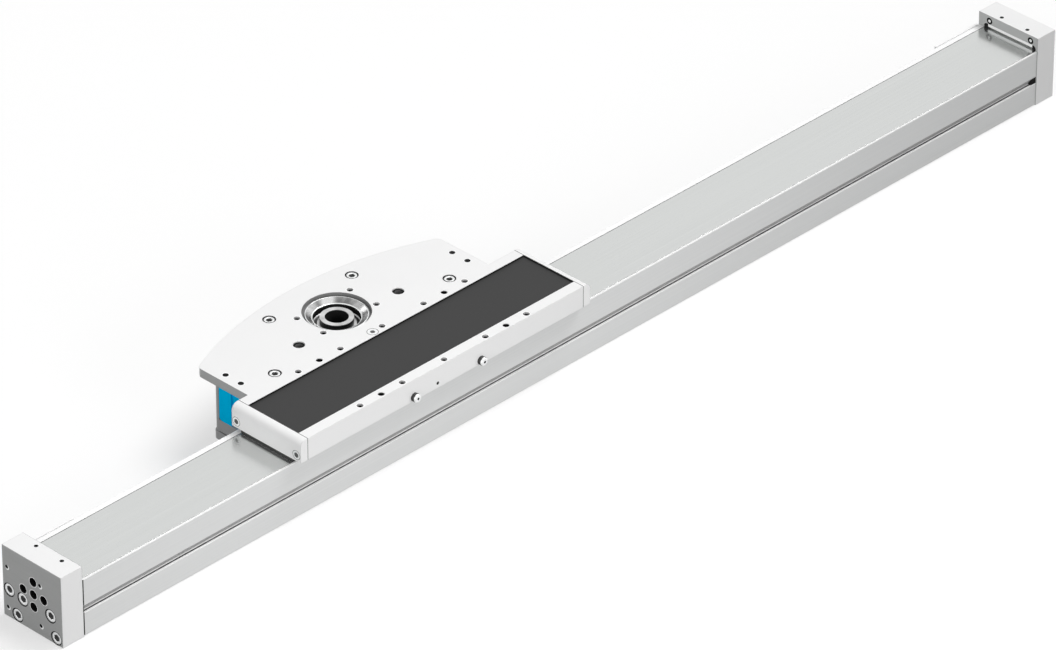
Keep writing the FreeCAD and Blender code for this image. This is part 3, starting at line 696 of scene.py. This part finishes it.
# Places in millimetres. On the end faces of the caps they are y and z, on their tops x and y, and on
# the wing and the base plate x and y from the shaft. Those of the strip's clamp screws are y alone.
CAP_SCREWS = ((23.5, 23.5), (9.7, 22.0), (15.6, 6.0), (-18.5, 21.6), (-23.8, 5.5))
CAP_SQUARE = ((-8.9, 41.7), (24.7, 41.7), (-8.9, 8.1), (24.7, 8.1))
CAP_TOP_THREADS = ((-501.7, 11.1), (-501.7, -15.0), (501.7, 11.1), (501.7, -15.0))
STRIP_CLAMP_SCREWS = (-22.6, 19.2)
WING_SCREWS = ((-41.65, 26.85), (41.65, 26.85), (-88.0, -26.85), (88.0, -26.85))
WING_THREADS = ((-114.2, -3.6), (-114.2, -19.25), (114.2, -3.6), (114.2, -19.25))
BASE_SCREWS = WING_SCREWS + ((-100.0, 2.0), (100.0, 2.0))
IDLERS = ((-50.0, -12.45), (50.0, -12.45))


class AXIS_OT_screws(bpy.types.Operator):
    """Makes the socket head screws, in pockets or flush with the face"""
    bl_idname = "belt_axis.screws"
    bl_label = "Screws"

    def execute(self, context):
        sizes = settings(context).sizes
        sink = sizes.head_sink
        steps = sizes.ring_steps

        def head(bm, origin, axis, radius, outline):
            """A head in its pocket, with the gap round it and the pocket's outline on the face in painted
            shade.
            """
            edge = radius + 0.00045
            add_screw(bm, origin, axis, radius, radius * 1.15, radius * sizes.key_share, steps)
            add_gap(bm, origin, axis, radius * 0.96, edge + 0.00003, 0.00012 - sink, steps)
            add_gap(bm, origin, axis, edge, radius + outline, -sink, steps)

        def flush(bm, origin, axis, radius):
            """A head level with the face."""
            add_flat_screw(bm, origin, axis, radius, radius * sizes.key_share, steps)

        bm = bmesh.new()
        for y, z in CAP_SCREWS:
            head(bm, (CAD_BOX[0][0] + sink, y * MM, z * MM), (-1, 0, 0), M6_HEAD, 0.0005)
        piece("near_cap_screws", bm, HEAD_FINISHES, "axis")

        bm = bmesh.new()
        for y, z in CAP_SCREWS:
            flush(bm, (CAD_BOX[1][0], y * MM, z * MM), (1, 0, 0), M6_HEAD)
        piece("far_cap_screws", bm, HEAD_FINISHES, "axis")

        bm = bmesh.new()
        top = SLIDE.z - sink
        for dx, dy in WING_SCREWS:
            head(bm, (HUB.x + dx * MM, HUB.y + dy * MM, top), Z, M5_HEAD, 0.0008)
        lock = (SLIDE.x - 0.0102, SLIDE.y + 0.0307, SLIDE.z)
        add_flat_screw(bm, lock, Z, radius=0.0040, key=0.0032, steps=steps)
        piece("wing_screws", bm, HEAD_FINISHES, "slide")

        bm = bmesh.new()
        for side, node in ((-1, "slide_end_cap_near"), (1, "slide_end_cap_far")):
            low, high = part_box(node)
            face = low.x if side < 0 else high.x
            for dy in (-0.03045, 0.03045):
                flush(bm, (face, SLIDE.y + dy, low.z + 0.0051), (side, 0, 0), M4_HEAD)
        piece("slide_cap_screws", bm, HEAD_FINISHES, "slide")

        bm = bmesh.new()
        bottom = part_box("drive_base_plate")[0].z
        for dx, dy in BASE_SCREWS:
            flush(bm, (HUB.x + dx * MM, HUB.y + dy * MM, bottom), -Z, M4_HEAD)
        piece("base_screws", bm, HEAD_FINISHES, "slide")

        bm = bmesh.new()
        for dx, dy in IDLERS:
            place = (HUB.x + dx * MM, HUB.y + dy * MM, SLIDE.z - 0.0006)
            add_screw(bm, place, Z, radius=0.00448, height=0.0050, key=0.0050, steps=steps)
        piece("idler_screws", bm, ["gap", "gap", "socket"], "slide")

        bm = bmesh.new()
        profile_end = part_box("profile")[1].x
        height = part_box("end_cap_near")[1].z - 0.0045
        for side in (-1, 1):
            for y in STRIP_CLAMP_SCREWS:
                place = (side * profile_end, y * MM, height)
                add_flat_screw(bm, place, (-side, 0, 0), radius=0.0012, key=0.0005, steps=steps, outline=2.35)
        piece("strip_clamp_screws", bm, ["bar", "gap", "socket"], "axis")

        bm = bmesh.new()
        for node in ("belt_clamp_near", "belt_clamp_far"):
            low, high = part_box(node)
            for share in (0.14, 0.38, 0.62, 0.86):
                place = (low.x + (high.x - low.x) * share, high.y, (low.z + high.z) / 2)
                flush(bm, place, (0, 1, 0), CLAMP_HEAD)
        piece("belt_clamp_screws", bm, HEAD_FINISHES, "axis")
        return {"FINISHED"}


class AXIS_OT_threads(bpy.types.Operator):
    """Lines the threaded holes, and marks the small threads and the dowel holes, with painted highlight on
    chamfers and painted shade inside
    """
    bl_idname = "belt_axis.threads"
    bl_label = "Threads"

    def execute(self, context):
        sizes = settings(context).sizes
        steps = max(20, sizes.ring_steps // 2)

        deep = 0.0118
        shallow = 0.0066
        lit = 0.0015

        bm = bmesh.new()
        for mount, depth in (("payload_outer_bolts", deep), ("payload_inner_bolts", deep),
                             ("payload_centre_bolts", deep), ("motor_flange_bolts", shallow)):
            places, axis = pattern(mount)
            radius = MOUNT[mount]["dims"]["hole_r_mm"] * MM
            for place in places:
                add_thread(bm, place, axis, radius, depth, sizes.thread_pitch, sizes.chamfer, steps, lit)
        for dx, dy in WING_THREADS:
            place = (HUB.x + dx * MM, HUB.y + dy * MM, SLIDE.z)
            add_flat_thread(bm, place, Z, radius=0.0023, chamfer=sizes.chamfer * 0.8, steps=steps)
        piece("slide_threads", bm, ["thread", "gap", "bore"], "slide")

        # Painted shade: dark linings inside the dowel holes and a dark disc for the small hole in the slide's
        # front
        bm = bmesh.new()
        places, axis = pattern("payload_dowels")
        for place in places:
            rings = [circle(radius=0.00249, height=height, steps=steps) for height in (-0.0006, -0.0078)]
            loops(bm, rings, facing(place, axis), [0])
        side_hole = (SLIDE.x - 0.0099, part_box("slide_plate")[0].y, 0.0540)
        rings = [circle(radius, LIFT * 2, steps) for radius in (0.0013, 0.0002)]
        loops(bm, rings, facing(side_hole, (0, -1, 0)), [0])
        piece("dowel_holes", bm, ["gap"], "slide")

        bm = bmesh.new()
        places, axis = pattern("cap_face_cross")
        centre = MOUNT["cap_face_centre"]
        middle = Vector((places[0].x, centre["pos_m"][1], centre["pos_m"][2]))
        radius = centre["dims"]["r_mm"] * MM
        pitch = sizes.thread_pitch * 1.5
        chamfer = sizes.chamfer * 0.7
        for place in places + [middle]:
            add_thread(bm, place, axis, radius, deep, pitch, chamfer, sizes.ring_steps, lit=0.0)
        for y, z in CAP_SQUARE:
            place = (CAD_BOX[0][0], y * MM, z * MM)
            add_flat_thread(bm, place, axis, radius=0.0015, chamfer=chamfer, steps=steps,
                            shift=(0, 0.0005, 0.0004))
        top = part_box("end_cap_near")[1].z
        for x, y in CAP_TOP_THREADS:
            place = (x * MM, y * MM, top)
            add_flat_thread(bm, place, Z, radius=0.00165, chamfer=sizes.chamfer * 0.5, steps=steps)
        piece("end_cap_threads", bm, ["thread", "gap", "bore"], "axis")
        return {"FINISHED"}


class AXIS_OT_bearing(bpy.types.Operator):
    """Makes the dished cover ring, the seal round the shaft and the dark inside of the shaft, painted shade
    in its bore
    """
    bl_idname = "belt_axis.bearing"
    bl_label = "Bearing and Shaft"

    def execute(self, context):
        steps = settings(context).sizes.ring_steps * 2
        spin = Matrix.Translation((HUB.x, HUB.y, 0.0))

        bm = bmesh.new()
        low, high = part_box("bearing_cover_ring")
        outer = (high.x - low.x) / 2
        throat = 0.0176
        top = high.z + 0.0013
        # Radius and height of each ring, from the foot of the throat outwards, over the rim and down the dish
        rings = [
            (throat, low.z), (outer, low.z), (outer, top - 0.0004), (outer - 0.0004, top),
            (outer - 0.0009, top), (outer - 0.0010, top - 0.0003), (throat + 0.0008, top - 0.0027),
            (throat + 0.0007, top - 0.0029), (throat + 0.0001, top - 0.0029), (throat, top - 0.0031),
            (throat, low.z),
        ]
        # Slot 1 paints the throat's inside dark as shade; slot 2 draws thin lighter bands at the rim and the
        # foot of the dish as painted highlight
        slots = [0, 0, 2, 2, 0, 0, 2, 2, 2, 1]
        loops(bm, [circle(r, z, steps) for r, z in rings], spin, slots, close_last=False)
        ring = piece("dished_cover_ring", bm, ["bright", "gap", "screw"], "slide")
        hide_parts("bearing_cover_ring")

        bm = bmesh.new()
        low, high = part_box("upper_bearing_outer_ring")
        outer = (high.x - low.x) / 2
        inner = 0.0148
        top = high.z - 0.0003
        # Radius and height of each ring, from the foot outwards, up and back over the seal
        rings = [
            (inner, low.z), (outer, low.z), (outer, top), (0.0172, top), (0.0171, top - 0.0009),
            (0.0163, top - 0.0013), (0.0158, top - 0.0008), (0.0151, top - 0.0008), (inner, top - 0.0013),
            (inner, low.z),
        ]
        slots = [0, 0, 0, 0, 1, 1, 1, 1, 1]
        loops(bm, [circle(r, z, steps) for r, z in rings], spin, slots, close_last=False)
        race = piece("sealed_bearing", bm, ["shaft", "seal"], "slide")
        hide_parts("upper_bearing_outer_ring")

        # Painted shade: a dark lining inside the shaft's bore
        bm = bmesh.new()
        bore = MOUNT["drive_hub_bore"]["dims"]["r_mm"] * MM
        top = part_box("drive_pulley")[1].z
        rings = [(bore - 0.00002, top - 0.0007), (bore - 0.00006, top - 0.0315)]
        loops(bm, [circle(r, z, steps) for r, z in rings], spin, [0])
        piece("shaft_bore_shade", bm, ["gap"], "pulley")
        return {"FINISHED"}


def add_plank(bm, first, second):
    """A thin plate between two opposite corners, given in any order."""
    limits = [sorted(pair) for pair in zip(first, second)]
    add_bar(bm, Vector(pair[0] for pair in limits), Vector(pair[1] for pair in limits))


class AXIS_OT_seams(bpy.types.Operator):
    """Makes the fine dark seams and gaps between neighbouring pieces, and painted shade in recesses and at
    the ends of the groove
    """
    bl_idname = "belt_axis.seams"
    bl_label = "Seams"

    def execute(self, context):
        # Across the slide, beside its two end caps
        bm = bmesh.new()
        low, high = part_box("slide_plate")
        front = low.y
        back = 2 * SLIDE.y - front
        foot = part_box("slide_end_cap_near")[0].z
        line = 0.00025
        for x in (low.x, high.x):
            add_plank(bm, (x - line, front - LIFT, foot), (x + line, front + LIFT, SLIDE.z + LIFT))
            add_plank(bm, (x - line, front - LIFT, SLIDE.z - LIFT), (x + line, back, SLIDE.z + LIFT))
        piece("slide_cap_seams", bm, ["socket"], "slide")

        # Down the profile's front at the near cap, a dark joint with painted shade of the step there; at the
        # ends of its groove, painted shadow of the caps; along the strip, dark joints; and beside the
        # clamping bars, painted shade in their recess
        bm = bmesh.new()
        low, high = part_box("profile")
        strip_low, strip_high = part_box("cover_strip_near")
        bar_low, bar_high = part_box("strip_clamp_bars")
        notch_near = 0.0014
        notch_far = 0.0052
        for z0, z1 in ((0.0008, LIP), (GROOVE_TOP, high.z)):
            add_plank(bm, (low.x, low.y - LIFT, z0), (low.x + notch_near, low.y + LIFT, z1))
        for x0, x1 in ((low.x, low.x + notch_near), (high.x, high.x - notch_far)):
            add_plank(bm, (x0, low.y + 0.0004, LIP + 0.0001), (x1, low.y + 0.0032, GROOVE_TOP - 0.0010))
        for y0, y1 in ((strip_high.y - 0.00005, strip_high.y + 0.0004), (strip_low.y - 0.0002, strip_low.y)):
            add_plank(bm, (low.x, y0, high.z - LIFT), (high.x, y1, high.z + LIFT))
        for side in (-1, 1):
            for y0, y1 in ((strip_low.y + 0.0001, bar_low.y), (bar_high.y, strip_high.y)):
                add_plank(bm, (side * (high.x + 0.0002), y0, high.z + 0.0001),
                          (side * (high.x + 0.0008), y1, bar_high.z - 0.0006))
        piece("end_cap_seams_and_shade", bm, ["gap"], "axis")

        # Painted shade of the walls of the dark panel's recess, wider at the back and at the far end
        bm = bmesh.new()
        low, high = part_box("cover_panel")
        front = low.y + PANEL_FLANGE
        back = high.y - PANEL_FLANGE
        level = SLIDE.z - 0.00005
        for y0, y1 in ((front, front + 0.0003), (back - 0.0006, back)):
            add_plank(bm, (low.x, y0, high.z), (high.x, y1, level))
        for x0, x1 in ((low.x, low.x + 0.0003), (high.x - 0.0006, high.x)):
            add_plank(bm, (x0, front, high.z), (x1, back, level))
        piece("panel_recess_shade", bm, ["gap"], "slide")

        # Between the drive housing and its base plate
        bm = bmesh.new()
        low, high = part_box("drive_housing")
        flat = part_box("belt_side_cover_near")[1].y
        for x in (low.x, high.x):
            add_plank(bm, (x - LIFT, low.y, low.z - 0.0003), (x + LIFT, flat, low.z + 0.0003))
        piece("base_seams", bm, ["gap"], "slide")
        return {"FINISHED"}


class AXIS_OT_nipples(bpy.types.Operator):
    """Makes the two grease nipples in the front of the slide"""
    bl_idname = "belt_axis.nipples"
    bl_label = "Grease Nipples"

    def execute(self, context):
        steps = settings(context).sizes.ring_steps
        low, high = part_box("lube_nipples")
        radius = (high.z - low.z) / 2
        length = high.y - low.y
        # Radius and reach of each ring, as shares of the whole, up to the small hole in the head
        shares = ((1.0, 0.0), (1.0, 0.62), (0.93, 0.66), (0.93, 0.86), (0.84, 1.0), (0.30, 1.0),
                  (0.26, 0.93), (0.2, 0.6))
        rings = [circle(radius * across, length * out, steps) for across, out in shares]

        bm = bmesh.new()
        for x in (low.x + radius, high.x - radius):
            matrix = facing((x, high.y, (low.z + high.z) / 2), (0, -1, 0))
            loops(bm, rings, matrix, [0, 0, 1, 1, 1, 0, 0, 0])
        made = piece("grease_nipples", bm, ["black", "screw"], "slide")
        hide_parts("lube_nipples")
        return {"FINISHED"}


def world_light(context):
    """A white surround: full white for what the camera and reflections see, dimmer as light."""
    world = bpy.data.worlds.new("studio_surround")
    context.scene.world = world
    s = Shader(world, "Background")
    dim = 0.30
    s.finish(Color=(1, 1, 1), Strength=s.studio_rays() * (1.0 - dim) + dim)


def floor_finish():
    """Nearly white to the camera and in reflections, partly by emission, which keeps the shadow light.

    It is grey to all other rays, so that hidden faces stay shaded.
    """
    s = new_shader("studio_floor")
    seen = s.studio_rays()
    fine = s.noise(s.place(), 3.0, 2.0)
    pale = s.mix(fine, (0.445, 0.445, 0.445), (0.455, 0.455, 0.455))
    s.surface.inputs["Emission Strength"].default_value = 1.0
    s.surface.inputs["Specular IOR Level"].default_value = 0.0
    return s.finish(
        Base_Color=s.mix(seen, (0.25, 0.25, 0.25), pale), Roughness=0.9 + fine * 0.05,
        Emission_Color=s.mix(seen, (0.0, 0.0, 0.0), (0.55, 0.55, 0.55)))


FLOOR_REACH = 20.0
FLOOR_DROP = 0.0002
SUNS = (  # name, direction towards the lamp, strength, angle in degrees
    ("key_light", (0.46, -0.12, 0.87), 2.02, 35.0),
    ("back_fill_light", (-0.25, 0.95, 0.16), 0.5, 20.0),
    ("near_fill_light", (-0.96, -0.12, 0.20), 1.0, 40.0),
)
CAMERA_AZIMUTH, CAMERA_ELEVATION, CAMERA_ROLL = (math.radians(v) for v in (-45.64, 32.81, 0.081))
CAMERA_TARGET = Vector((-0.0305, -0.003, 0.030))
CAMERA_DISTANCE = 5.9177
CAMERA_LENS = 277.74


def add_stage_object(context, name, content):
    """An object of the stage that turns by a quaternion."""
    made = bpy.data.objects.new(name, content)
    made.rotation_mode = "QUATERNION"
    context.scene.collection.objects.link(made)
    return made


class AXIS_OT_stage(bpy.types.Operator):
    """Sets the floor, the lights and the camera"""
    bl_idname = "belt_axis.stage"
    bl_label = "Stage"

    def execute(self, context):
        bm = bmesh.new()
        bmesh.ops.create_grid(bm, x_segments=1, y_segments=1, size=FLOOR_REACH)
        mesh = bpy.data.meshes.new("studio_floor")
        bm.to_mesh(mesh)
        bm.free()
        floor = bpy.data.objects.new("studio_floor", mesh)
        floor.location.z = -FLOOR_DROP
        mesh.materials.append(floor_finish())
        context.scene.collection.objects.link(floor)

        world_light(context)
        for name, direction, strength, angle in SUNS:
            lamp = bpy.data.lights.new(name, "SUN")
            lamp.energy = strength
            lamp.angle = math.radians(angle)
            holder = add_stage_object(context, name, lamp)
            holder.rotation_quaternion = Vector(direction).to_track_quat("Z", "Y")

        lamp = bpy.data.lights.new("side_panel", "AREA")
        lamp.shape = "DISK"
        lamp.size = 0.6
        lamp.energy = 3.9
        holder = add_stage_object(context, "side_panel", lamp)
        holder.location = (-0.26, -0.85, 0.30)
        aim = Vector((-0.2, 0.0, 0.03))
        holder.rotation_quaternion = (holder.location - aim).to_track_quat("Z", "Y")
        holder.visible_glossy = False

        camera = bpy.data.cameras.new("photo_view")
        camera.sensor_fit = "HORIZONTAL"
        camera.sensor_width = 36.0
        camera.lens = CAMERA_LENS
        camera.clip_start = 0.1
        camera.clip_end = 100.0
        level = math.cos(CAMERA_ELEVATION)
        back = Vector((math.sin(CAMERA_AZIMUTH) * level, -math.cos(CAMERA_AZIMUTH) * level,
                       math.sin(CAMERA_ELEVATION)))
        holder = add_stage_object(context, "photo_view", camera)
        holder.rotation_quaternion = (-back).to_track_quat("-Z", "Y") @ Quaternion((0, 0, 1), CAMERA_ROLL)
        holder.location = CAMERA_TARGET + back * CAMERA_DISTANCE
        context.scene.camera = holder
        context.scene.view_settings.view_transform = "Standard"
        return {"FINISHED"}


OPERATORS = (AXIS_OT_finishes, AXIS_OT_bands, AXIS_OT_screws, AXIS_OT_threads, AXIS_OT_bearing,
             AXIS_OT_nipples, AXIS_OT_seams, AXIS_OT_stage)


class AXIS_PT_dresser(bpy.types.Panel):
    """Lists the pieces that dress the axis"""
    bl_label = "Belt Axis"
    bl_idname = "AXIS_PT_dresser"
    bl_space_type = "VIEW_3D"
    bl_region_type = "UI"
    bl_category = "Belt Axis"

    def draw(self, context):
        column = self.layout.column()
        for group in (settings(context).sizes, settings(context).colours):
            for name in group.__annotations__:
                column.prop(group, name)
        for operator in OPERATORS:
            column.operator(operator.bl_idname)


CLASSES = (AxisSizes, AxisColours, AxisSettings, AXIS_PT_dresser) + OPERATORS


def register():
    for cls in CLASSES:
        bpy.utils.register_class(cls)
    bpy.types.Scene.belt_axis = PointerProperty(type=AxisSettings)


def unregister():
    del bpy.types.Scene.belt_axis
    for cls in reversed(CLASSES):
        bpy.utils.unregister_class(cls)


def main():
    register()
    for operator in OPERATORS:
        group, name = operator.bl_idname.split(".")
        getattr(getattr(bpy.ops, group), name)()


if __name__ == "__main__":
    main()
